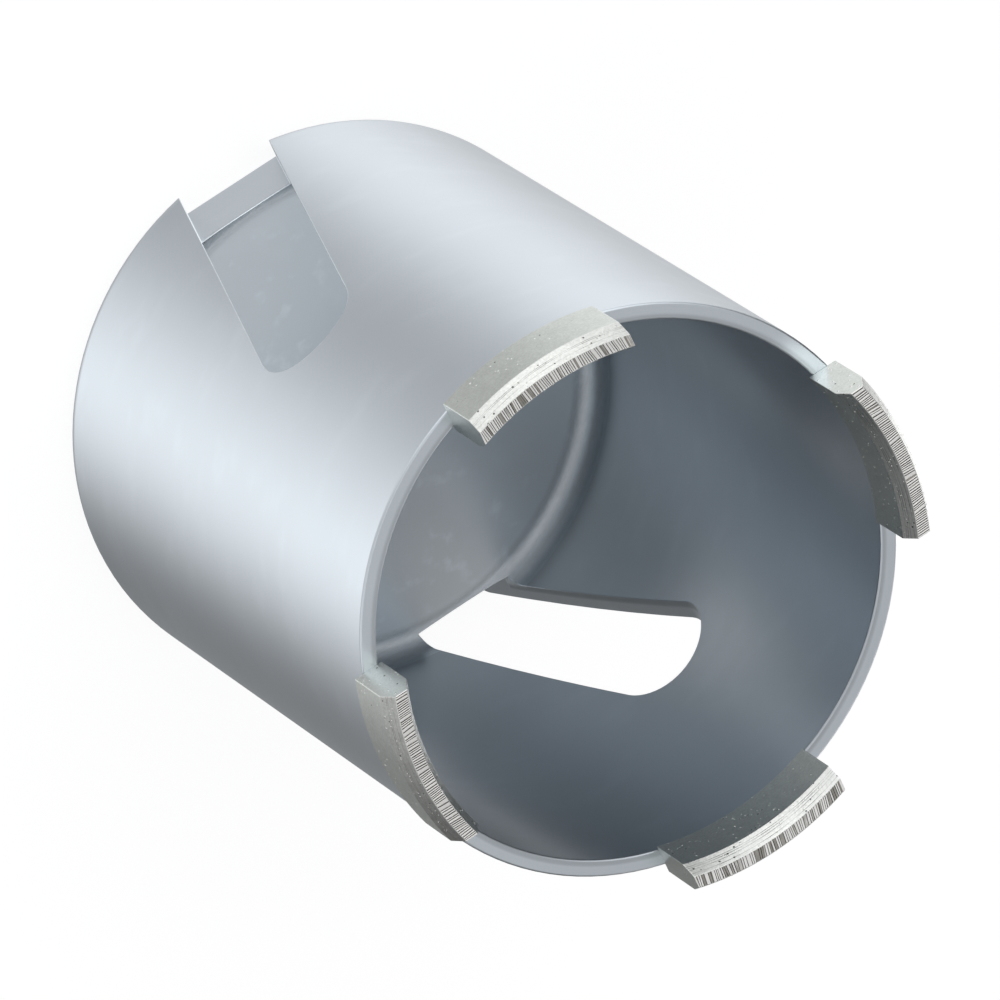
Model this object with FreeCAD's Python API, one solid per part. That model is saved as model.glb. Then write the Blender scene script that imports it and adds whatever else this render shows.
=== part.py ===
import FreeCAD, Part
import math
import os

# Diamond core bit, 68 mm over the segments, millimetres.
# The origin is the centre of the back plate's outer face. +Z runs along the
# axis towards the cutting end, and +X points through the middle of slot one
# and of segment one.

# Cup
tube_diameter = 66.0
wall_thickness = 2.0
cup_length = 76.6
plate_thickness = 7.5
outer_corner_radius = 3.0
inner_corner_radius = 2.5
rim_edge_break = 0.15

# Arbor thread, bored at its major diameter
thread_diameter = 16.0
thread_lead_in = 0.8

# Slanted slots that let the dust and the core out
slot_count = 2
slot_width = 12.0
slot_slant = 15.0
slot_crossing_height = 2.6
slot_end_height = 41.1
slot_flat_inset = 2.0

# Diamond segments
segment_count = 4
segment_length = 20.0
segment_thickness = 3.5
segment_overhang = 1.0
segment_side_height = 6.2
segment_height = 8.2
segment_crown_width = 1.5

# Sizes that follow
tube_radius = tube_diameter / 2
inner_radius = tube_radius - wall_thickness
thread_radius = thread_diameter / 2
slot_flat_distance = inner_radius - slot_flat_inset
segment_outer_radius = tube_radius + segment_overhang
segment_inner_radius = segment_outer_radius - segment_thickness
segment_middle_radius = segment_outer_radius - segment_thickness / 2

origin = FreeCAD.Vector(0, 0, 0)
x_axis = FreeCAD.Vector(1, 0, 0)
z_axis = FreeCAD.Vector(0, 0, 1)


def at(radius, height):
    """A point of a turned profile, in the plane through the axis and +X."""
    return FreeCAD.Vector(radius, 0, height)


def line(start, end):
    return Part.LineSegment(start, end).toShape()


def chain(points):
    """Straight edges from each point to the next."""
    return [line(a, b) for a, b in zip(points, points[1:])]


def quarter(start, centre, end):
    """A quarter circle from start to end round the centre."""
    middle = start + end - centre * 2
    middle.multiply(centre.distanceToPoint(start) / middle.Length)
    return Part.Arc(start, centre + middle, end).toShape()


def turned(edges):
    """A closed profile swept a full turn, its seam clear of slots and segments."""
    solid = Part.Face(Part.Wire(edges)).revolve(origin, z_axis, 360)
    solid.rotate(origin, z_axis, 180 / segment_count)
    return solid


def cup_blank():
    """The cup as it leaves the lathe: tube, plate, both corners and the bore."""
    mouth_radius = thread_radius + thread_lead_in
    foot = at(tube_radius - outer_corner_radius, 0)
    heel = at(tube_radius, outer_corner_radius)
    foot_centre = at(tube_radius - outer_corner_radius, outer_corner_radius)
    wall_start = at(inner_radius, plate_thickness + inner_corner_radius)
    floor_edge = at(inner_radius - inner_corner_radius, plate_thickness)
    corner_centre = at(inner_radius - inner_corner_radius, plate_thickness + inner_corner_radius)
    rim = [
        heel,
        at(tube_radius, cup_length - rim_edge_break),
        at(tube_radius - rim_edge_break, cup_length),
        at(inner_radius + rim_edge_break, cup_length),
        at(inner_radius, cup_length - rim_edge_break),
        wall_start,
    ]
    bore = [
        floor_edge,
        at(mouth_radius, plate_thickness),
        at(thread_radius, plate_thickness - thread_lead_in),
        at(thread_radius, thread_lead_in),
        at(mouth_radius, 0),
        foot,
    ]
    edges = [quarter(foot, foot_centre, heel)]
    edges += chain(rim)
    edges += [quarter(wall_start, corner_centre, floor_edge)]
    edges += chain(bore)
    return turned(edges)


def slot_prism(from_x):
    """The slot's outline, carried outwards along +X from the given distance."""
    half = slot_width / 2
    slant = math.radians(slot_slant)
    reach = (slot_end_height - slot_crossing_height) / math.cos(slant)
    tail = -(slot_crossing_height + slot_width) / math.cos(slant)
    corners = [
        FreeCAD.Vector(0, -half, reach),
        FreeCAD.Vector(0, -half, tail),
        FreeCAD.Vector(0, half, tail),
        FreeCAD.Vector(0, half, reach),
    ]
    round_end = Part.Arc(corners[3], FreeCAD.Vector(0, 0, reach + half), corners[0]).toShape()
    outline = Part.Face(Part.Wire(chain(corners) + [round_end]))
    prism = outline.extrude(x_axis * (segment_outer_radius - from_x))
    prism.rotate(origin, x_axis, -slot_slant)
    prism.translate(FreeCAD.Vector(from_x, 0, slot_crossing_height))
    return prism


def slot_cutter():
    """Milled to one flat on the plate, and clear through the wall above it."""
    clear_height = plate_thickness + inner_corner_radius
    side = 2 * segment_outer_radius
    above = Part.makeBox(side, 2 * side, cup_length, FreeCAD.Vector(0, -side, clear_height))
    through = slot_prism(inner_radius / 2).common(above)
    return slot_prism(slot_flat_distance).fuse(through).removeSplitter()


def spaced(shape, count):
    """Copies of a shape, evenly spaced round the axis, the first in place."""
    copies = []
    for index in range(count):
        copy = shape.copy()
        copy.rotate(origin, z_axis, index * 360 / count)
        copies.append(copy)
    return copies


def core_cup():
    return cup_blank().cut(spaced(slot_cutter(), slot_count))


def segment():
    """One segment on the rim: a ring of roof-shaped section between flat ends."""
    half_crown = segment_crown_width / 2
    shoulder = cup_length + segment_side_height
    crown = cup_length + segment_height
    section = [
        at(segment_inner_radius, cup_length),
        at(segment_outer_radius, cup_length),
        at(segment_outer_radius, shoulder),
        at(segment_middle_radius + half_crown, crown),
        at(segment_middle_radius - half_crown, crown),
        at(segment_inner_radius, shoulder),
        at(segment_inner_radius, cup_length),
    ]
    ring = turned(chain(section))
    corner = FreeCAD.Vector(0, -segment_length / 2, cup_length)
    return ring.common(Part.makeBox(segment_outer_radius, segment_length, segment_height, corner))


def save(name, shape):
    solid = shape.removeSplitter().Solids[0]
    print(name, "valid", solid.isValid(), "volume", round(solid.Volume, 2))
    solid.exportStep(os.path.join("parts", name + ".step"))


os.makedirs("parts", exist_ok=True)
save("core_cup", core_cup())
for number, piece in enumerate(spaced(segment(), segment_count), start=1):
    save(f"segment_{number}", piece)
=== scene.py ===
import math

import bmesh
import bpy
import numpy as np
from mathutils import Matrix, Vector


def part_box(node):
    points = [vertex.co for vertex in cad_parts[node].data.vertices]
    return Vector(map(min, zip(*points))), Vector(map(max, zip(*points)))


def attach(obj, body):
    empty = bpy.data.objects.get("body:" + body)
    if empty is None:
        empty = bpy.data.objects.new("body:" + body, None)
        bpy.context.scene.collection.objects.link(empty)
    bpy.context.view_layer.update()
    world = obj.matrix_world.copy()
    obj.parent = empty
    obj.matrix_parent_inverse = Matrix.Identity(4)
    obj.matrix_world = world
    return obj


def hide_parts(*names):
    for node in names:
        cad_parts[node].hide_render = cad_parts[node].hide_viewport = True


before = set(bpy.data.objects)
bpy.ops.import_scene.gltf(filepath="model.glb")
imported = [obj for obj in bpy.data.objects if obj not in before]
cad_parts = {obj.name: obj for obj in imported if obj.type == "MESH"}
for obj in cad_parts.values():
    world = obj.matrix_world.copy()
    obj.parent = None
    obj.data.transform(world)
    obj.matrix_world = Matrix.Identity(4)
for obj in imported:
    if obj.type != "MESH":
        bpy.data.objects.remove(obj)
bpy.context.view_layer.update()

bl_info = {
    "name": "Diamond core bit looks",
    "version": (1, 0, 0),
    "blender": (4, 5, 0),
    "location": "3D View > Sidebar > Core Bit",
    "description": "Dresses the core bit: satin cup, arbor thread, ground segments, studio",
    "category": "Object",
}

SEGMENTS = ("segment_1", "segment_2", "segment_3", "segment_4")
SEGMENT_LOW, SEGMENT_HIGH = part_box("segment_1")
MM = 0.001

# Cup: how near points are to be merged, and how sharp an edge is to be rounded
MERGE_DISTANCE = 0.001 * MM
SHARP_ANGLE = math.radians(25)

# Segment: how far the normals of its inner chamfer lean towards its crown, and where
# a scratch's three points lie from its middle, as shares of the chamfer's width
NORMAL_LIFT = 0.1
SCRATCH_POINTS = (-0.024, 0.0, 0.024)

# Ends of a segment: rings on the flat end face, as shares of its outline, angles of
# the rows round its edge, and how far the outline shrinks there, in edge breaks. At
# 1 the corners of the foot would fold over.
LID_RINGS = (0.4, 0.8, 0.98)
EDGE_TURNS = (0.0, 30.0, 60.0, 90.0)
END_SHRINK = 0.8

# Crown strips, in mm: how many are drawn, where the first starts, how far inside a
# strip's ends its points lie, widths of the three kinds of facet, how high a facet
# rises at most, and widths and depths of narrow and wide cuts
STRIP_COUNT = 170
STRIP_START = -12
STRIP_MARGIN = 0.008
FACET_WIDTHS = ((0.12, 0.19), (0.19, 0.32), (0.32, 0.5))
FACET_RISE = 0.07
NARROW_CUT_WIDTH = (0.08, 0.11)
NARROW_CUT_DEPTH = 0.1
WIDE_CUT_WIDTH = (0.15, 0.3)
WIDE_CUT_DEPTH = 0.06

# Grains: smallest and largest size, and how far they stay from a segment's ends
GRAIN_SIZES = (0.05 * MM, 0.13 * MM)
GRAIN_MARGIN = 0.4 * MM

# Thread: height of a ridge in pitches, then shares of a pitch that half a crest and
# one flank take, points round the bore and along it, and how far the sleeve overlaps
# the bore's wall
THREAD_HEIGHT = 0.5413
HALF_CREST = 0.125
FLANK = 0.3125
THREAD_AROUND = 180
THREAD_ALONG = 96
THREAD_OVERLAP = 0.02 * MM

WHITE = (1.0, 1.0, 1.0, 1.0)

# Floor: from its middle to its sides, and how far below the bit
FLOOR_REACH = 2.0
FLOOR_DROP = 0.05 * MM

# Look of each segment. Of its crown: tilt of the facets, lean of the strips, odds
# of narrow, middling and wide facets, share of brown facets and of wide cuts, how
# dark and how deep the narrow cuts are, that dark partly painted shade. Then the
# painted shade on its inner side and inner chamfer, its change along that chamfer
# towards +Y, and the painted shade on its ends; below 0 it is painted light.
STYLES = (
    {
        "tilt": -0.35, "lean": 0.14, "facet_odds": (0.62, 0.32, 0.06), "brown": 0.14,
        "wide_cuts": 0.06, "cuts": (0.45, 0.95), "sink": 0.6,
        "inner": (0.0, 0.0, 0.0), "ends": 0.06,
    },
    {
        "tilt": -0.26, "lean": 0.0, "facet_odds": (0.76, 0.16, 0.08), "brown": 0.0,
        "wide_cuts": 0.03, "cuts": (0.8, 1.0), "sink": 1.0,
        "inner": (0.1, 0.06, -0.3), "ends": 0.0,
    },
    {
        "tilt": 0.26, "lean": -0.12, "facet_odds": (0.62, 0.32, 0.06), "brown": 0.34,
        "wide_cuts": 0.08, "cuts": (0.65, 1.0), "sink": 0.8,
        "inner": (0.03, -0.2, -0.15), "ends": 0.1,
    },
    {
        "tilt": 0.26, "lean": 0.03, "facet_odds": (0.8, 0.15, 0.05), "brown": 0.04,
        "wide_cuts": 0.04, "cuts": (0.75, 1.0), "sink": 0.9,
        "inner": (0.25, 0.4, -0.12), "ends": -0.38,
    },
)


# Shader nodes written as Python expressions

class Wire:
    """An output socket. Arithmetic on it adds Math nodes."""

    def __init__(self, nodes, socket):
        self.nodes = nodes
        self.socket = socket

    def math(self, operation, *values):
        inputs = dict(enumerate(values))
        return self.nodes.add("ShaderNodeMath", {"operation": operation}, inputs)

    def __add__(self, other):
        return self.math("ADD", self, other)

    def __sub__(self, other):
        return self.math("SUBTRACT", self, other)

    def __rsub__(self, other):
        return self.math("SUBTRACT", other, self)

    def __mul__(self, other):
        return self.math("MULTIPLY", self, other)

    def __truediv__(self, other):
        return self.math("DIVIDE", self, other)

    def __rtruediv__(self, other):
        return self.math("DIVIDE", other, self)

    def __pow__(self, other):
        return self.math("POWER", self, other)

    def __gt__(self, other):
        return self.math("GREATER_THAN", self, other)

    def __lt__(self, other):
        return self.math("LESS_THAN", self, other)

    def exp(self):
        return self.math("EXPONENT", self)

    def __abs__(self):
        return self.math("ABSOLUTE", self)

    __radd__ = __add__
    __rmul__ = __mul__


class Nodes:
    """The node tree of one material or world, cleared and rebuilt."""

    def __init__(self, owner):
        owner.use_nodes = True
        self.tree = owner.node_tree
        self.tree.nodes.clear()

    def add(self, kind, settings=None, inputs=None, output=0):
        """A node with its settings made first, then its inputs set or linked."""
        node = self.tree.nodes.new(kind)
        for name, value in (settings or {}).items():
            setattr(node, name, value)
        for name, value in (inputs or {}).items():
            if isinstance(value, Wire):
                self.tree.links.new(value.socket, node.inputs[name])
            else:
                node.inputs[name].default_value = value
        return Wire(self, node.outputs[output]) if node.outputs else None

    def object_place(self):
        return self.add("ShaderNodeTexCoord", output="Object")

    def split(self, vector):
        node = self.add("ShaderNodeSeparateXYZ", None, {0: vector}).socket.node
        return [Wire(self, socket) for socket in node.outputs]

    def combine(self, x, y, z):
        return self.add("ShaderNodeCombineXYZ", None, {0: x, 1: y, 2: z})

    def attribute(self, name):
        return self.add("ShaderNodeAttribute", {"attribute_name": name}, None, "Fac")

    def noise(self, vector, scale, detail=2.0, roughness=0.5):
        inputs = {"Vector": vector, "Scale": scale, "Detail": detail, "Roughness": roughness}
        return self.add("ShaderNodeTexNoise", None, inputs, "Fac")

    def step(self, value, low, high):
        """Smoothly from 0 to 1 while the value goes from low to high."""
        settings = {"interpolation_type": "SMOOTHSTEP"}
        inputs = {"Value": value, "From Min": low, "From Max": high}
        return self.add("ShaderNodeMapRange", settings, inputs, "Result")

    def band(self, value, low, high, soft):
        """1 between low and high, with soft edges."""
        rise = self.step(value, low - soft, low + soft)
        return rise * self.step(value, high + soft, high - soft)

    def mix(self, factor, first, second, blend="MIX"):
        settings = {"data_type": "RGBA", "blend_type": blend, "clamp_result": True}
        inputs = {0: factor, 6: colour4(first), 7: colour4(second)}
        return self.add("ShaderNodeMix", settings, inputs, 2)

    def shaded(self, colour, red, green=None, blue=None):
        """A colour times one number, or times one for each channel."""
        factor = self.combine(red, red if green is None else green, red if blue is None else blue)
        return self.mix(1.0, colour, factor, "MULTIPLY")

    def bump(self, height, strength, distance, normal=None):
        inputs = {"Height": height, "Strength": strength, "Distance": distance}
        if normal is not None:
            inputs["Normal"] = normal
        return self.add("ShaderNodeBump", None, inputs, "Normal")

    def finish(self, inputs):
        """The Principled shader and the material output."""
        shader = self.add("ShaderNodeBsdfPrincipled", None, inputs, "BSDF")
        self.add("ShaderNodeOutputMaterial", None, {"Surface": shader})


def colour4(colour):
    if isinstance(colour, Wire):
        return colour
    return (*colour, 1.0)


# Meshes

def grid_faces(rows, columns, wrap_rows=False, wrap_columns=False):
    """Quads over a rows x columns grid of points, numbered row by row."""
    i = np.arange(rows if wrap_rows else rows - 1)
    j = np.arange(columns if wrap_columns else columns - 1)
    i, j = np.meshgrid(i, j, indexing="ij")
    below, after = (i + 1) % rows, (j + 1) % columns
    quads = np.stack(
        [i * columns + j, i * columns + after, below * columns + after, below * columns + j], -1
    )
    return quads.reshape(-1, 4)


def read_values(items, key, width=1, kind=float):
    """One value, or a row of several, from each of a mesh's items."""
    values = np.empty(len(items) * width, kind)
    items.foreach_get(key, values)
    return values.reshape(-1, width) if width > 1 else values


def unit_rows(rows):
    return rows / np.linalg.norm(rows, axis=1)[:, None]


def weighted_normals(mesh):
    """Each point's mean of its faces' normals, weighted by their areas squared.

    A broad flat face outweighs the narrow ones round it and shades flat.
    """
    corner = read_values(mesh.loops, "vertex_index", kind=int)
    sides = read_values(mesh.polygons, "loop_total", kind=int)
    area = read_values(mesh.polygons, "area") / MM ** 2
    facing = read_values(mesh.polygons, "normal", 3)
    share = np.repeat(facing * area[:, None] ** 2, sides, axis=0)
    normals = np.zeros((len(mesh.vertices), 3))
    np.add.at(normals, corner, share)
    return unit_rows(normals)


def make_object(name, points, faces, material, attributes=None, sharp=False):
    """A smooth-shaded mesh object at the origin that rides on the body.

    A sharp one takes the weighted normals, raised where its attribute lift is 1.
    """
    mesh = bpy.data.meshes.new(name)
    rows = faces if isinstance(faces, list) else faces.tolist()
    mesh.from_pydata(points.reshape(-1, 3), [], rows)
    for key, values in (attributes or {}).items():
        layer = mesh.attributes.new(key, "FLOAT", "POINT")
        layer.data.foreach_set("value", np.ascontiguousarray(values, np.float32).ravel())
    mesh.validate()
    mesh.shade_smooth()
    if sharp:
        normals = weighted_normals(mesh)
        normals[:, 2] += NORMAL_LIFT * attributes["lift"]
        mesh.normals_split_custom_set_from_vertices(unit_rows(normals).tolist())
    mesh.materials.append(material)
    piece = bpy.data.objects.new(name, mesh)
    bpy.context.scene.collection.objects.link(piece)
    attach(piece, "root")
    return piece


# Materials

def steel_material(finish, sizes):
    """Satin steel: soft smudges, turning lines in the corner, a painted highlight on the rounded
    edges.

    Inside the cup the wall is painted darker, painted shade that grows deep down and
    is strongest at -Y. The plate is painted a little lighter, but darker on one patch
    and a little darker at its far side: painted shade.
    """
    material = bpy.data.materials.new("satin_steel")
    n = Nodes(material)
    place = n.object_place()
    x, y, z = n.split(place)
    edge = n.attribute("edge")
    radius = (x * x + y * y) ** 0.5
    spin = n.combine(x / radius * 0.004, y / radius * 0.004, z + radius)
    turning = n.noise(spin, 9000.0, 3.0, 0.6)
    wall, level, bend = inner_radius(sizes), sizes.plate_thickness, sizes.inner_corner_radius
    corner = n.band(radius, wall - bend - 0.6 * MM, wall + 0.2 * MM, 0.4 * MM)
    corner = corner * n.band(z, level - 0.2 * MM, level + bend + 0.6 * MM, 0.2 * MM)
    corner_wall = corner * n.step(radius, wall - 1.3 * MM, wall - 0.7 * MM)
    cloud = n.noise(place, 60.0)
    haze = n.noise(n.combine(x, y, z * 1.8), 130.0)
    smudge = n.step(haze, 0.5, 0.8)
    within = n.step(radius, wall + 0.9 * MM, wall + 0.4 * MM)
    inside = within * n.step(z, level + 0.2 * MM, level + 1.3 * MM)
    plate = within * n.step(z, level - 0.2 * MM, level - 0.05 * MM) * (1.0 - inside)
    plate_shade_patch = n.step(y - x * 0.35, -4 * MM, 3 * MM) * n.step(x, -6 * MM, -16 * MM)
    far = n.step(x, 2 * MM, -12 * MM) * (1.0 - plate_shade_patch)
    depth = n.step(z, 62 * MM, 15 * MM)
    deep = depth * n.step(y, 2 * MM, -20 * MM)
    shade = 0.935 + cloud * 0.09 + smudge * 0.04 + corner * (turning - 0.5) * 0.35
    # Painted shade: the wall inside the cup is darkened, more deep down and most of all at -Y
    shade = shade * (1.0 - inside * (1.0 - finish.inner_wall_painted_shade + depth * 0.03 + deep * 0.11))
    # Painted shade on the plate: darker on one patch and at its far side, a little lighter
    # elsewhere
    shade = shade * (1.0 + plate * (0.06 - plate_shade_patch * 0.36 - far * 0.18))
    rubbed = n.combine(x * 0.5 + y, y * 0.3 - x, z)
    scuff = n.step(n.noise(rubbed, 300.0, 3.0, 0.55), 0.55, 0.8) * plate
    # Painted shade in the corner towards the plate, and a painted highlight where the corner
    # meets the wall; the scuffs add lighter marks on the plate
    shade = shade * (1.0 - (corner - corner_wall) * 0.15 + corner_wall * 0.3) + scuff * 0.15
    # Painted highlight: the rounded edges are painted lighter
    shade = shade * (1.0 + edge * 0.35)
    colour = n.shaded(finish.steel_colour, shade)
    roughness = finish.steel_roughness + cloud * 0.02 + scuff * 0.08
    roughness = roughness + corner * 0.04 + corner_wall * 0.16
    normal = n.bump(turning * corner, 0.5, 0.03 * MM)
    n.finish({"Base Color": colour, "Metallic": 1.0, "Roughness": roughness, "Normal": normal})
    return material


def thread_material(finish):
    """Cut steel inside the thread: a little darker than the cup, with helical lines."""
    material = bpy.data.materials.new("cut_thread")
    n = Nodes(material)
    x, y, z = n.split(n.object_place())
    radius = (x * x + y * y) ** 0.5
    spin = n.combine(x / radius * 0.003, y / radius * 0.003, z + radius * 2.0)
    lines = n.noise(spin, 12000.0, 3.0, 0.6)
    shade = 0.72 + lines * 0.3
    colour = n.shaded(finish.steel_colour, shade)
    normal = n.bump(lines, 0.4, 0.02 * MM)
    roughness = 0.28 + lines * 0.16
    n.finish({"Base Color": colour, "Metallic": 1.0, "Roughness": roughness, "Normal": normal})
    return material


def segment_material(finish, sizes):
    """Sintered metal and diamond: grinding lines, grit specks, pits, striped crown.

    The inner side is a little warmer than the rest. Painted shade darkens the pits,
    the scratches, in part the crown cuts, and each segment's inner faces and ends
    (painted light where its style is below 0); a painted highlight lightens the edges.
    """
    material = bpy.data.materials.new("ground_segment")
    n = Nodes(material)
    place = n.object_place()
    x, y, z = n.split(place)
    radius = (x * x + y * y) ** 0.5
    chamfer, crown, side = n.attribute("chamfer"), n.attribute("crown"), n.attribute("side")
    along, across, wear_and_highlight = n.attribute("along"), n.attribute("across"), n.attribute("wear_and_highlight")
    scratch, inner = n.attribute("scratch"), n.attribute("inner")
    grain = n.noise(place, 3600.0, 2.0, 0.6)
    ends = n.step(abs(along), 6.0, 9.4)
    spin = n.combine(x / radius * 0.006, y / radius * 0.006, z * 1.3 + radius)
    lines = n.noise(spin, 7000.0, 4.0, 0.65)
    mottle = n.noise(place, 900.0, 4.0, 0.65)
    cells = {"Vector": place, "Scale": 2100.0, "Randomness": 1.0}
    voronoi = n.add("ShaderNodeTexVoronoi", None, cells, "Distance").socket.node
    chance, kind, _ = n.split(Wire(n, voronoi.outputs["Color"]))
    spot = n.step(Wire(n, voronoi.outputs["Distance"]), 0.3, 0.16) * (1.0 - crown)
    # Pits are painted dark further down: painted shade in the small hollows
    pit = spot * (chance > 0.987 - chamfer * (0.09 + ends * 0.16))
    speck = spot * (chance < 0.09 - chamfer * 0.05)
    shade = 0.95 + (mottle - 0.5) * 0.2 + (lines - 0.5) * (0.08 + chamfer * 0.26 + side * 0.24)
    shade = shade + (grain - 0.5) * (0.28 + chamfer * 0.12)
    # Painted highlight: the rounded edges are painted lighter; the specks are grit
    shade = (shade + speck * 0.5 * kind + wear_and_highlight * 0.12) * (1.0 - pit * 0.8)
    # Painted shade: scratches darkened in their grooves, and inner faces and ends darkened by
    # each segment's style, lightened where it is below 0
    shade = shade * (1.0 - scratch * 0.5) * (1.0 - inner)
    ground = n.mix(chamfer, finish.segment_colour, finish.chamfer_colour)
    warm = side * (radius < SEGMENT_HIGH.x - sizes.segment_thickness / 2)
    colour = n.shaded(ground, shade, shade * (1.0 - warm * 0.025), shade * (1.0 - warm * 0.055))
    streak = n.noise(n.combine(along * 5.0, across * 0.9, z * 50.0), 1.0, 2.0, 0.6)
    # Crown colours: pale and brown-stained facets, and cuts whose black is partly painted shade
    stain_and_shade = n.attribute("stain_and_shade") + (streak - 0.5) * 0.4
    striped = n.mix(n.step(stain_and_shade, 0.1, 0.5), (1.0, 0.995, 0.98), (0.36, 0.345, 0.315))
    striped = n.mix(n.step(stain_and_shade, 0.5, 0.9), striped, (0.03, 0.028, 0.025))
    colour = n.mix(crown, colour, striped)
    roughness = finish.segment_roughness + mottle * 0.08 - 0.04 - speck * 0.2 - wear_and_highlight * 0.03
    normal = n.bump(mottle * 0.5 + lines * (0.2 + chamfer * 0.6), 0.35, 0.03 * MM)
    normal = n.bump(speck - pit, 0.7, 0.05 * MM, normal)
    metal = 1.0 - speck * side * 0.8
    n.finish({"Base Color": colour, "Metallic": metal, "Roughness": roughness, "Normal": normal})
    return material


def diamond_material():
    """Grains of diamond grit: pale, slightly yellow and glossy."""
    material = bpy.data.materials.new("diamond_grit")
    n = Nodes(material)
    tint = n.noise(n.object_place(), 1500.0)
    colour = n.mix(n.step(tint, 0.4, 0.6), (0.5, 0.5, 0.44), (0.88, 0.89, 0.86))
    n.finish({"Base Color": colour, "Metallic": 0.3, "Roughness": 0.28 + tint * 0.1, "IOR": 2.4})
    return material


# Segments

def segment_section(sizes):
    """The roof-shaped outline as (radius, height) rows with rounded edges.

    Each side is divided evenly and every corner gets one rounded point between
    the ends of its two sides. Each chamfer also has long scratches at set
    places, three points each. Returns points, outward normals, the kind of each
    point's side and how deep its scratch is.
    """
    inset = sizes.grit_room
    foot = SEGMENT_LOW.z
    top = SEGMENT_HIGH.z - inset
    outer = SEGMENT_HIGH.x - inset
    inner = outer - sizes.segment_thickness + 2 * inset
    middle = (outer + inner) / 2
    shoulder = foot + sizes.segment_side_height
    half_crown = sizes.segment_crown_width / 2
    corners = np.array([
        (outer, foot), (outer, shoulder), (middle + half_crown, top),
        (middle - half_crown, top), (inner, shoulder), (inner, foot),
    ])
    kinds = ("side", "chamfer", "crown", "chamfer", "side", "foot")
    counts = (20, 8, 9, 8, 20, 5)
    scratches = {1: (0.36, 0.45, 0.72), 3: (0.2, 0.46, 0.62, 0.74)}
    reach = sizes.segment_edge_break
    after = np.roll(corners, -1, axis=0)
    along = (after - corners) / np.linalg.norm(after - corners, axis=1)[:, None]
    outward = np.stack([along[:, 1], -along[:, 0]], 1)
    points, normals, labels, depths = [], [], [], []
    for index, kind in enumerate(kinds):
        start = corners[index] + along[index] * reach
        end = after[index] - along[index] * reach
        fraction = np.linspace(0, 1, counts[index])
        depth = np.zeros(len(fraction))
        for place in scratches.get(index, ()):
            fraction = np.append(fraction, np.add(place, SCRATCH_POINTS))
            depth = np.append(depth, [0, 1, 0])
        order = np.argsort(fraction)
        fraction, depth = fraction[order, None], depth[order]
        following = (index + 1) % len(kinds)
        next_start = after[index] + along[following] * reach
        rounded = ((end + next_start) / 2 + after[index]) / 2
        between = outward[index] + outward[following]
        between /= np.linalg.norm(between)
        points += [start + (end - start) * fraction, rounded]
        normals += [np.repeat(outward[index][None], len(fraction), 0), between]
        labels += [kind] * len(fraction) + ["edge"]
        depths += [depth, [0]]
    return np.vstack(points), np.vstack(normals), np.array(labels), np.concatenate(depths)


def crown_strips(rng, style):
    """Positions along a segment (mm), with the crown's depth and darkness at each:
    brown stains on some facets, and dark cuts whose dark is partly painted shade.

    Bright facets and dark cuts of random width follow one another. A facet
    tilts up or down by the style's tilt, a cut is a V. Each gives positions just
    inside its ends, so that its shading stays its own.
    """
    count = STRIP_COUNT
    kind = rng.choice(3, count, p=style["facet_odds"])
    facet = rng.uniform(*np.array(FACET_WIDTHS)[kind].T)
    wide = rng.random(count) < style["wide_cuts"]
    widths = rng.uniform(*WIDE_CUT_WIDTH, count), rng.uniform(*NARROW_CUT_WIDTH, count)
    cut = np.where(wide, *widths)
    start = np.cumsum(facet + cut) - (facet + cut) + STRIP_START
    end = start + facet
    rise = np.minimum(facet * abs(style["tilt"]), FACET_RISE)
    first, last = (rise, 0 * rise) if style["tilt"] > 0 else (0 * rise, rise)
    low = np.where(wide, WIDE_CUT_DEPTH, NARROW_CUT_DEPTH * style["sink"])
    low = low * rng.uniform(0.6, 1.0, count)
    position = np.stack([
        start + STRIP_MARGIN, end - STRIP_MARGIN,
        end + STRIP_MARGIN, end + cut / 2, end + cut - STRIP_MARGIN,
    ], 1)
    depth = np.stack([first, last, low * 0.4, low, low * 0.4], 1)
    brown = rng.random(count) < style["brown"]
    pale = np.where(brown, rng.uniform(0.3, 0.55, count), rng.uniform(0, 0.12, count))
    # Dark of the cuts: partly painted shade in the V grooves
    dark = np.where(wide, rng.uniform(0.45, 0.7, count), rng.uniform(*style["cuts"], count))
    stain_and_shade = np.stack([pale, pale, dark, dark, dark], 1)
    return position.ravel(), depth.ravel(), stain_and_shade.ravel()


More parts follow.
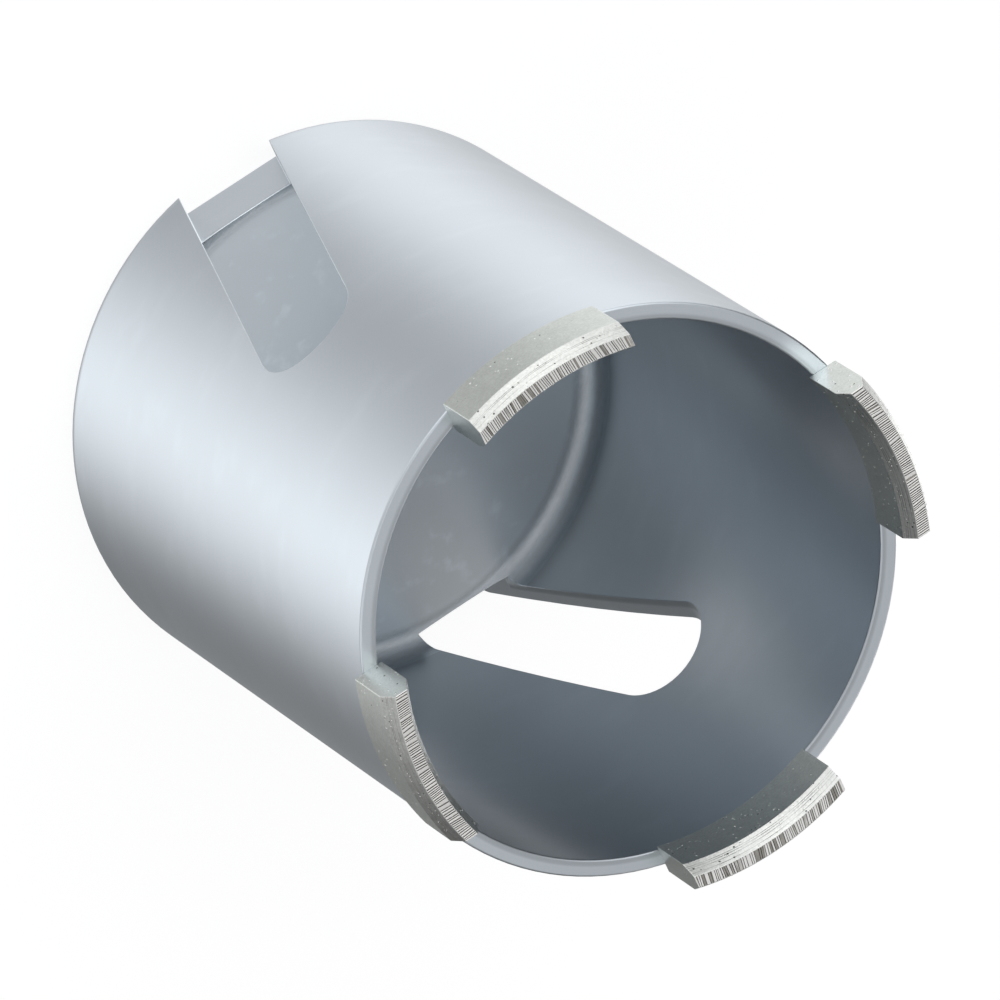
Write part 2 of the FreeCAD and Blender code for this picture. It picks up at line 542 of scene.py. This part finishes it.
def segment_mesh(sizes, quarter):
    """One closed segment: its section carried along Y between rounded, flat ends.

    A section point at radius r and height z goes to x = sqrt(r^2 - y^2) at each
    y. Near an end the section shrinks along a quarter ellipse, then the end face
    closes on its middle point. The crown sinks by its strips' depth, and its
    strips lean a little to and fro. Returns points, faces and, for each point,
    the attributes that the material and the normals read.
    """
    rng = np.random.default_rng(11 + quarter)
    style = STYLES[quarter]
    section, normals, labels, scratch = segment_section(sizes)
    half = SEGMENT_HIGH.y
    edge = sizes.segment_edge_break
    turn = np.radians(EDGE_TURNS)
    strip, depth, stain_and_shade = crown_strips(rng, style)
    inside = np.abs(strip) * MM < half - edge - 0.05 * MM
    run, depth, stain_and_shade = strip[inside] * MM, depth[inside], stain_and_shade[inside]
    end = half - edge + edge * np.sin(turn)
    shrink = END_SHRINK * edge * (1 - np.cos(turn))
    y = np.concatenate([-end[::-1], run, end])
    shrink = np.concatenate([shrink[::-1], 0 * run, shrink])
    depth, stain_and_shade = (np.pad(values, len(turn)) for values in (depth, stain_and_shade))
    rows = section[None] - shrink[:, None, None] * normals[None]
    middle = np.array([section[:, 0].mean(), (SEGMENT_LOW.z + SEGMENT_HIGH.z) / 2])
    lid = middle + (rows[:1] - middle) * np.array(LID_RINGS)[:, None, None]
    rings = len(lid)
    rows = np.concatenate([lid, rows, lid[::-1]])
    y = np.pad(y, rings, mode="edge")[:, None]
    depth, stain_and_shade = (np.pad(values, rings)[:, None] for values in (depth, stain_and_shade))
    skin = np.ones((len(y), 1))
    skin[:rings] = skin[-rings:] = 0
    rounding = np.zeros((len(y), 1))
    rounding[rings:rings + len(turn)] = rounding[-rings - len(turn):-rings] = 1
    crown = (labels == "crown")[None] * skin
    waver = 1 + 0.5 * np.sin(y / (0.9 * MM) + 40 * section[:, 0])
    rows[..., 1] -= crown * depth * MM
    scratch = scratch[None] * skin * waver
    rows -= (scratch * sizes.scratch_depth)[..., None] * normals[None]
    lean = style["lean"] + 0.06 * np.sin(y / (1.3 * MM))
    lean = lean + 0.04 * np.sin(y / (0.47 * MM) + quarter)
    ends = np.clip((half - np.abs(y)) / (0.6 * MM), 0, 1)
    along = y + (rows[..., 0] - middle[0]) * lean * ends * crown
    radius, z = rows[..., 0], rows[..., 1]
    points = np.stack([np.sqrt(radius ** 2 - along ** 2), along, z], -1)
    masks = {kind: (labels == kind)[None] * skin for kind in ("side", "chamfer", "crown")}
    masks["stain_and_shade"] = stain_and_shade * crown
    # Scratch marks, painted dark in the material: painted shade in the grooves
    masks["scratch"] = scratch
    within = (normals[:, 0] < -0.5)[None] * skin
    # Painted shade on the inner side, inner chamfer and end faces, set for each segment; below 0
    # it is painted light
    painted_side_shade, painted_chamfer_shade, slope = style["inner"]
    painted_chamfer_shade = painted_chamfer_shade + slope * y / half
    masks["inner"] = within * np.where(masks["chamfer"] > 0, painted_chamfer_shade, painted_side_shade)
    masks["inner"] += (1 - skin) * style["ends"]
    masks["lift"] = within * masks["chamfer"]
    masks["along"] = y / MM + 0 * radius
    masks["across"] = (radius - middle[0]) / MM
    # Rounded edges: wear, which lowers roughness, and a painted highlight in the colour
    masks["wear_and_highlight"] = np.maximum((labels == "edge")[None] * skin, rounding)
    columns = points.shape[1]
    faces = grid_faces(len(y), columns, wrap_columns=True)[:, ::-1].tolist()
    first, last = len(y) * columns, len(y) * columns + 1
    poles = [(math.sqrt(middle[0] ** 2 - at ** 2), at, middle[1]) for at in y[[0, -1], 0]]
    column = np.arange(columns)
    after = (column + 1) % columns
    final = first - columns
    near_fan = [column * 0 + first, column, after]
    far_fan = [column * 0 + last, final + after, final + column]
    faces += np.stack([*near_fan, *far_fan], 1).reshape(-1, 3).tolist()
    flat = np.vstack([points.reshape(-1, 3), poles])
    layers = {key: np.append(values.ravel(), [0, 0]) for key, values in masks.items()}
    # The end faces' middle points take the ends' painted shade too
    layers["inner"][-2:] = style["ends"]
    return turned_about_z(flat, quarter), faces, layers


def turned_about_z(points, quarter):
    """Points turned by quarters of a full turn about the axis."""
    angle = quarter * math.pi / 2
    c, s = math.cos(angle), math.sin(angle)
    return points @ np.array([[c, s, 0], [-s, c, 0], [0, 0, 1]])


def grit_mesh(sizes, quarter):
    """Grains half sunk in a segment's sides and chamfers.

    Each grain is a small octahedron with its corners pushed in at random, turned
    at random and placed at a random spot of the section's side. On the outer side
    it sinks deeper, so that it stays inside the solid.
    """
    rng = np.random.default_rng(101 + quarter)
    section, normals, labels, _ = segment_section(sizes)
    spots = np.flatnonzero(np.isin(labels, ["side", "chamfer"]))
    count = sizes.grit_count
    pick = rng.choice(spots, count)
    y = rng.uniform(-SEGMENT_HIGH.y + GRAIN_MARGIN, SEGMENT_HIGH.y - GRAIN_MARGIN, count)
    size = rng.uniform(*GRAIN_SIZES, count)
    free = (normals[pick, 0] < 0.9) * 0.035 * MM
    sunk = size * 0.9 - sizes.grit_room * 0.75 - free
    place = section[pick] - normals[pick] * np.maximum(sunk, 0)[:, None]
    place[:, 1] += rng.uniform(-0.1, 0.1, count) * MM * np.abs(normals[pick, 0])
    centre = np.stack([np.sqrt(place[:, 0] ** 2 - y ** 2), y, place[:, 1]], 1)
    corner = np.array([
        (1, 0, 0), (-1, 0, 0), (0, 1, 0), (0, -1, 0), (0, 0, 1), (0, 0, -1),
    ], float)
    turn = rng.normal(size=(count, 3, 3))
    turn, _ = np.linalg.qr(turn)
    turn *= np.sign(np.linalg.det(turn))[:, None, None]
    stretch = rng.uniform(0.75, 1.0, (count, 6, 1))
    points = centre[:, None] + (corner[None] * stretch * size[:, None, None]) @ turn
    points = np.clip(points, -np.array(SEGMENT_HIGH), SEGMENT_HIGH)
    octahedron = np.array([
        (0, 2, 4), (2, 1, 4), (1, 3, 4), (3, 0, 4), (2, 0, 5), (1, 2, 5), (3, 1, 5), (0, 3, 5),
    ])
    faces = (octahedron[None] + 6 * np.arange(count)[:, None, None]).reshape(-1, 3)
    return turned_about_z(points.reshape(-1, 3), quarter), faces


# Cup

def inner_radius(sizes):
    return sizes.tube_radius - sizes.wall_thickness


def cup_mesh(sizes):
    """The cup's own solid, merged, with every sharp edge rounded.

    Its normals are weighted, and on the turned surfaces they are the surface's.
    """
    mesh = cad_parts["core_cup"].data.copy()
    work = bmesh.new()
    work.from_mesh(mesh)
    bmesh.ops.remove_doubles(work, verts=work.verts, dist=MERGE_DISTANCE)
    work.to_mesh(mesh)
    work.free()
    piece = bpy.data.objects.new("cup_at_work", mesh)
    bpy.context.scene.collection.objects.link(piece)
    bevel = piece.modifiers.new("edges", "BEVEL")
    bevel.limit_method = "ANGLE"
    bevel.angle_limit = SHARP_ANGLE
    bevel.width = sizes.cup_edge_break
    bevel.segments = 3
    bevel.use_clamp_overlap = False
    bevel.loop_slide = False
    graph = bpy.context.evaluated_depsgraph_get()
    rounded = bpy.data.meshes.new_from_object(piece.evaluated_get(graph))
    bpy.data.objects.remove(piece)
    bpy.data.meshes.remove(mesh)
    points = read_values(rounded.vertices, "co", 3)
    faces = [list(face.vertices) for face in rounded.polygons]
    normals = turned_normals(points, weighted_normals(rounded), sizes)
    edge = narrow_points(rounded, sizes.cup_edge_break)
    bpy.data.meshes.remove(rounded)
    return points, faces, normals, {"edge": edge}


def narrow_points(mesh, width):
    """1 at points touched by the narrow faces of rounded edges only, else 0."""
    corner = read_values(mesh.loops, "vertex_index", kind=int)
    edge = read_values(mesh.loops, "edge_index", kind=int)
    ends = read_values(mesh.edges, "vertices", 2, int)
    place = read_values(mesh.vertices, "co", 3)
    long = np.linalg.norm(place[ends[:, 0]] - place[ends[:, 1]], axis=1)
    sides = read_values(mesh.polygons, "loop_total", kind=int)
    first = np.cumsum(sides) - sides
    area = read_values(mesh.polygons, "area")
    narrow = area / np.maximum.reduceat(long[edge], first) < width * 0.6
    touched = np.ones(len(mesh.vertices))
    np.minimum.at(touched, corner, np.repeat(narrow, sides).astype(float))
    return touched


def turned_normals(points, normals, sizes):
    """Normals with those on the tube's faces and corners made exact."""
    radius = np.hypot(points[:, 0], points[:, 1])
    radial = np.stack([points[:, 0] / radius, points[:, 1] / radius, 0 * radius], 1)
    upright = np.array([0.0, 0.0, 1.0])
    height = points[:, 2]
    near = 0.004 * MM
    tube, inner = sizes.tube_radius, inner_radius(sizes)
    steep = np.abs(normals[:, 2]) < 0.2
    sideways = np.abs((normals * radial).sum(1)) > 0.9
    for wall, sign in ((tube, 1), (inner, -1)):
        on_wall = (np.abs(radius - wall) < near) & steep & sideways
        normals[on_wall] = sign * radial[on_wall]
    outer_corner, inner_corner = sizes.outer_corner_radius, sizes.inner_corner_radius
    corners = (
        (tube - outer_corner, outer_corner, outer_corner, 1),
        (inner - inner_corner, sizes.plate_thickness + inner_corner, inner_corner, -1),
    )
    for centre, level, reach, sign in corners:
        out, up = radius - centre, height - level
        on_corner = (np.abs(np.hypot(out, up) - reach) < near) & (out > 0) & (up < 0)
        exact = (out[:, None] * radial + up[:, None] * upright) / reach * sign
        on_corner &= (exact * normals).sum(1) > 0.9
        normals[on_corner] = exact[on_corner]
    return normals


# Arbor thread

def thread_mesh(sizes):
    """The thread's ridges as a sleeve inside the bore.

    At angle a and height z the sleeve's radius is the major one less a tooth
    whose phase is z / pitch - a / full turn: flat root, straight flanks, flat
    crest. Cones at both ends cut the teeth back. The sleeve's back lies just
    inside the bore's wall.
    """
    plate = sizes.plate_thickness
    lead = sizes.thread_lead_in
    major = sizes.thread_radius - THREAD_OVERLAP
    depth = sizes.thread_pitch * THREAD_HEIGHT
    a = np.linspace(0, 2 * math.pi, THREAD_AROUND, endpoint=False)
    z = np.linspace(lead, plate - lead, THREAD_ALONG)[:, None]
    phase = (z / sizes.thread_pitch - a / (2 * math.pi)) % 1.0
    away = np.abs(phase - 0.5)
    tooth = np.clip((HALF_CREST + FLANK - away) / FLANK, 0, 1)
    radius = sizes.thread_radius - depth * tooth
    cone = sizes.thread_radius + lead - np.minimum(z, plate - z)
    radius = np.minimum(np.maximum(radius, cone), major)
    front = np.stack([radius * np.cos(a), radius * np.sin(a), z + 0 * radius], -1)
    behind = sizes.thread_radius + THREAD_OVERLAP
    back = np.stack([behind * np.cos(a) + 0 * z, behind * np.sin(a) + 0 * z, z + 0 * a], -1)[::-1]
    points = np.concatenate([front, back])
    return points, grid_faces(len(points), len(a), wrap_rows=True, wrap_columns=True)[:, ::-1]


# Studio

# Soft lights of the studio: azimuth and elevation in degrees, tightness, strength
SOFT_LIGHTS = (
    (0, -90, 12, 0.298),
    (27, -57, 16, 0.285),
    (27, -6, 9, 0.789),
    (57, -57, 16, 0.382),
    (72, 28, 6, 0.768),
    (78, -32, 10, 0.529),
    (87, -57, 16, 0.705),
    (117, 28, 6, 0.703),
    (130, 57, 20, 0.459),
    (177, -57, 16, 0.145),
    (207, 75, 20, 0.974),
    (237, -57, 16, 0.281),
    (267, -57, 16, 0.217),
    (285, 57, 20, 0.812),
    (294, -32, 10, 0.913),
    (297, -57, 16, 0.429),
    (327, 57, 6, 0.720),
    (330, -32, 10, 0.381),
    (342, 28, 6, 0.836),
    (347, -6, 9, 0.890),
    (207, 20, 16, 1.400),
    (228, -36, 50, 2.600),
)


def direction(azimuth, elevation):
    """The unit vector at an azimuth and an elevation, in radians."""
    flat = math.cos(elevation)
    return Vector((flat * math.cos(azimuth), flat * math.sin(azimuth), math.sin(elevation)))


def studio_world(scene):
    """White to the camera; elsewhere a dim room with soft lights all round.

    A light's strength falls off as exp(tightness x (cosine of the angle - 1)).
    """
    world = bpy.data.worlds.new("soft_studio")
    scene.world = world
    n = Nodes(world)
    ray = n.add("ShaderNodeTexCoord", output="Generated")
    total = 0.0
    for azimuth, elevation, tightness, strength in SOFT_LIGHTS:
        towards = direction(math.radians(azimuth), math.radians(elevation))
        dot = {"operation": "DOT_PRODUCT"}
        cosine = n.add("ShaderNodeVectorMath", dot, {0: ray, 1: towards}, "Value")
        total = ((cosine - 1.0) * tightness).exp() * strength + total
    white = n.add("ShaderNodeLightPath", output="Is Camera Ray")
    strength = total * (1.0 - white) + white
    light = n.add("ShaderNodeBackground", None, {"Color": WHITE, "Strength": strength})
    n.add("ShaderNodeOutputWorld", None, {"Surface": light})


def floor_material(studio):
    """Pale floor that keeps a faint shadow and lets reflections see the studio."""
    material = bpy.data.materials.new("pale_floor")
    n = Nodes(material)
    matt = n.add("ShaderNodeBsdfDiffuse", None, {"Color": colour4(studio.floor_colour)})
    glow = n.add("ShaderNodeEmission", None, {"Color": WHITE, "Strength": studio.floor_glow})
    pale = n.add("ShaderNodeAddShader", None, {0: matt, 1: glow})
    clear = n.add("ShaderNodeBsdfTransparent")
    glossy = n.add("ShaderNodeLightPath", output="Is Glossy Ray")
    shadow = Wire(n, glossy.socket.node.outputs["Is Shadow Ray"])
    under = n.add("ShaderNodeNewGeometry", output="Backfacing")
    seen_through = glossy + shadow + under
    mixed = n.add("ShaderNodeMixShader", None, {0: seen_through, 1: pale, 2: clear})
    n.add("ShaderNodeOutputMaterial", None, {"Surface": mixed})
    return material


# Settings

def length_of(name, description, default):
    return bpy.props.FloatProperty(
        name=name, description=description, default=default, min=0.0, unit="LENGTH", precision=5
    )


def share_of(name, description, default):
    return bpy.props.FloatProperty(
        name=name, description=description, default=default, min=0.0, max=1.0
    )


def colour_of(name, description, default):
    return bpy.props.FloatVectorProperty(
        name=name, description=description, default=default, subtype="COLOR", size=3,
        min=0.0, max=1.0,
    )


def angle_of(name, description, degrees):
    return bpy.props.FloatProperty(
        name=name, description=description, default=math.radians(degrees), subtype="ANGLE"
    )


class CoreBitSizes(bpy.types.PropertyGroup):
    segment_thickness: length_of("Segment thickness", "From inner to outer face", 3.5 * MM)
    segment_side_height: length_of("Side height", "Of a segment's upright sides", 6.2 * MM)
    segment_crown_width: length_of("Crown width", "Of a segment's striped top", 1.5 * MM)
    segment_edge_break: length_of("Segment edge break", "Rounding of its edges", 0.07 * MM)
    scratch_depth: length_of("Scratch depth", "Of the long scratches on a chamfer", 0.011 * MM)
    cup_edge_break: length_of("Cup edge break", "Rounding of the cup's edges", 0.1 * MM)
    grit_room: length_of("Grit room", "How far the skin lies inside the solid", 0.04 * MM)
    grit_count: bpy.props.IntProperty(
        name="Grains", description="Grains showing on one segment", default=150, min=0
    )
    tube_radius: length_of("Tube radius", "Of the cup's outside", 33.0 * MM)
    wall_thickness: length_of("Wall thickness", "Of the tube", 2.0 * MM)
    outer_corner_radius: length_of("Outer corner", "Radius of the back's edge", 3.0 * MM)
    inner_corner_radius: length_of("Inner corner", "Radius from plate to wall", 2.5 * MM)
    plate_thickness: length_of("Plate thickness", "Of the cup's back plate", 7.5 * MM)
    thread_radius: length_of("Thread radius", "At the thread's root", 8.0 * MM)
    thread_lead_in: length_of("Thread lead-in", "Of the countersinks at both ends", 0.8 * MM)
    thread_pitch: length_of("Thread pitch", "From one ridge to the next", 2.0 * MM)


class CoreBitFinish(bpy.types.PropertyGroup):
    steel_colour: colour_of("Steel", "Colour of the satin cup", (0.68, 0.738, 0.79))
    steel_roughness: share_of("Steel roughness", "Of the satin cup", 0.28)
    # Painted shade: the share of its colour that the wall keeps inside the cup
    inner_wall_painted_shade: share_of("Inner wall", "How bright the wall is inside the cup", 0.76)
    segment_colour: colour_of("Segment", "Colour of the sintered metal", (0.69, 0.722, 0.695))
    chamfer_colour: colour_of("Chamfer", "Colour of the ground chamfers", (0.76, 0.774, 0.75))
    segment_roughness: share_of("Segment roughness", "Of the ground segments", 0.34)


class CoreBitStudio(bpy.types.PropertyGroup):
    azimuth: angle_of("Camera azimuth", "From +X towards +Y", 27.0)
    elevation: angle_of("Camera elevation", "Above the floor", 57.7255)
    roll: angle_of("Camera roll", "Turn about the line of sight", 123.1667)
    distance: length_of("Camera distance", "From the point aimed at", 1.466367)
    aim: bpy.props.FloatVectorProperty(
        name="Aim", description="Point in the middle of the picture", subtype="TRANSLATION",
        size=3, default=(-2.9217 * MM, -2.0687 * MM, 38.3 * MM),
    )
    lens: bpy.props.FloatProperty(
        name="Lens", description="Focal length on a 36 mm sensor", default=471.08, min=1.0
    )
    floor_colour: colour_of("Floor", "Colour of the pale floor", (0.2, 0.2, 0.2))
    floor_glow: share_of("Floor glow", "Light that the floor gives off itself", 0.86)


# Operators

class CORE_BIT_OT_cup(bpy.types.Operator):
    """Replaces the plain cup by one of satin steel with rounded edges"""

    bl_idname = "core_bit.cup"
    bl_label = "Cup"

    def execute(self, context):
        sizes = context.scene.core_bit_sizes
        points, faces, normals, layers = cup_mesh(sizes)
        material = steel_material(context.scene.core_bit_finish, sizes)
        cup = make_object("satin_cup", points, faces, material, layers)
        cup.data.normals_split_custom_set_from_vertices(normals.tolist())
        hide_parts("core_cup")
        return {"FINISHED"}


class CORE_BIT_OT_thread(bpy.types.Operator):
    """Cuts the arbor thread's ridges into the bore"""

    bl_idname = "core_bit.thread"
    bl_label = "Arbor thread"

    def execute(self, context):
        points, faces = thread_mesh(context.scene.core_bit_sizes)
        material = thread_material(context.scene.core_bit_finish)
        make_object("arbor_thread_ridges", points, faces, material)
        return {"FINISHED"}


class CORE_BIT_OT_segments(bpy.types.Operator):
    """Replaces each plain segment by a ground one with grit"""

    bl_idname = "core_bit.segments"
    bl_label = "Segments"

    def execute(self, context):
        sizes = context.scene.core_bit_sizes
        skin = segment_material(context.scene.core_bit_finish, sizes)
        diamond = diamond_material()
        for quarter, node in enumerate(SEGMENTS):
            points, faces, layers = segment_mesh(sizes, quarter)
            piece = make_object(
                "ground_" + node, points, faces, skin, layers, sharp=True
            )
            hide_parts(node)
            points, faces = grit_mesh(sizes, quarter)
            grit = make_object("grit_" + node, points, faces, diamond)
            grit.data.shade_flat()
        return {"FINISHED"}


class CORE_BIT_OT_stage(bpy.types.Operator):
    """Makes the floor, the studio light and the camera"""

    bl_idname = "core_bit.stage"
    bl_label = "Stage"

    def execute(self, context):
        scene = context.scene
        studio = scene.core_bit_studio
        side = np.array([-FLOOR_REACH, FLOOR_REACH])
        x, y = np.meshgrid(side, side)
        points = np.stack([x, y, np.full_like(x, -FLOOR_DROP)], -1)
        mesh = bpy.data.meshes.new("floor")
        mesh.from_pydata(points.reshape(-1, 3), [], grid_faces(2, 2).tolist())
        mesh.materials.append(floor_material(studio))
        floor = bpy.data.objects.new("floor", mesh)
        scene.collection.objects.link(floor)
        studio_world(scene)
        back = direction(studio.azimuth, studio.elevation)
        right = Vector((-math.sin(studio.azimuth), math.cos(studio.azimuth), 0))
        up = back.cross(right)
        across = right * math.cos(studio.roll) + up * math.sin(studio.roll)
        upright = back.cross(across)
        lens = bpy.data.cameras.new("camera")
        lens.lens = studio.lens
        lens.sensor_width = 36
        lens.clip_start, lens.clip_end = 0.05, 20
        camera = bpy.data.objects.new("camera", lens)
        scene.collection.objects.link(camera)
        place = Matrix((across, upright, back)).transposed().to_4x4()
        place.translation = Vector(studio.aim) + back * studio.distance
        camera.matrix_world = place
        scene.camera = camera
        scene.view_settings.view_transform = "Standard"
        return {"FINISHED"}


class CORE_BIT_PT_panel(bpy.types.Panel):
    """The core bit's settings and the buttons that make it"""

    bl_idname = "CORE_BIT_PT_panel"
    bl_label = "Core Bit"
    bl_space_type = "VIEW_3D"
    bl_region_type = "UI"
    bl_category = "Core Bit"

    def draw(self, context):
        for group in ("core_bit_sizes", "core_bit_finish", "core_bit_studio"):
            settings = getattr(context.scene, group)
            column = self.layout.column(align=True)
            for name in settings.bl_rna.properties.keys():
                if name not in ("rna_type", "name"):
                    column.prop(settings, name)
        for operator in ("cup", "thread", "segments", "stage"):
            self.layout.operator("core_bit." + operator)


GROUPS = {
    "core_bit_sizes": CoreBitSizes,
    "core_bit_finish": CoreBitFinish,
    "core_bit_studio": CoreBitStudio,
}
CLASSES = (
    CORE_BIT_OT_cup,
    CORE_BIT_OT_thread,
    CORE_BIT_OT_segments,
    CORE_BIT_OT_stage,
    CORE_BIT_PT_panel,
)


def register():
    for name, group in GROUPS.items():
        bpy.utils.register_class(group)
        setattr(bpy.types.Scene, name, bpy.props.PointerProperty(type=group))
    for item in CLASSES:
        bpy.utils.register_class(item)


def unregister():
    for item in reversed(CLASSES):
        bpy.utils.unregister_class(item)
    for name, group in GROUPS.items():
        delattr(bpy.types.Scene, name)
        bpy.utils.unregister_class(group)


def main():
    register()
    bpy.ops.core_bit.stage()
    bpy.ops.core_bit.cup()
    bpy.ops.core_bit.thread()
    bpy.ops.core_bit.segments()


if __name__ == "__main__":
    main()
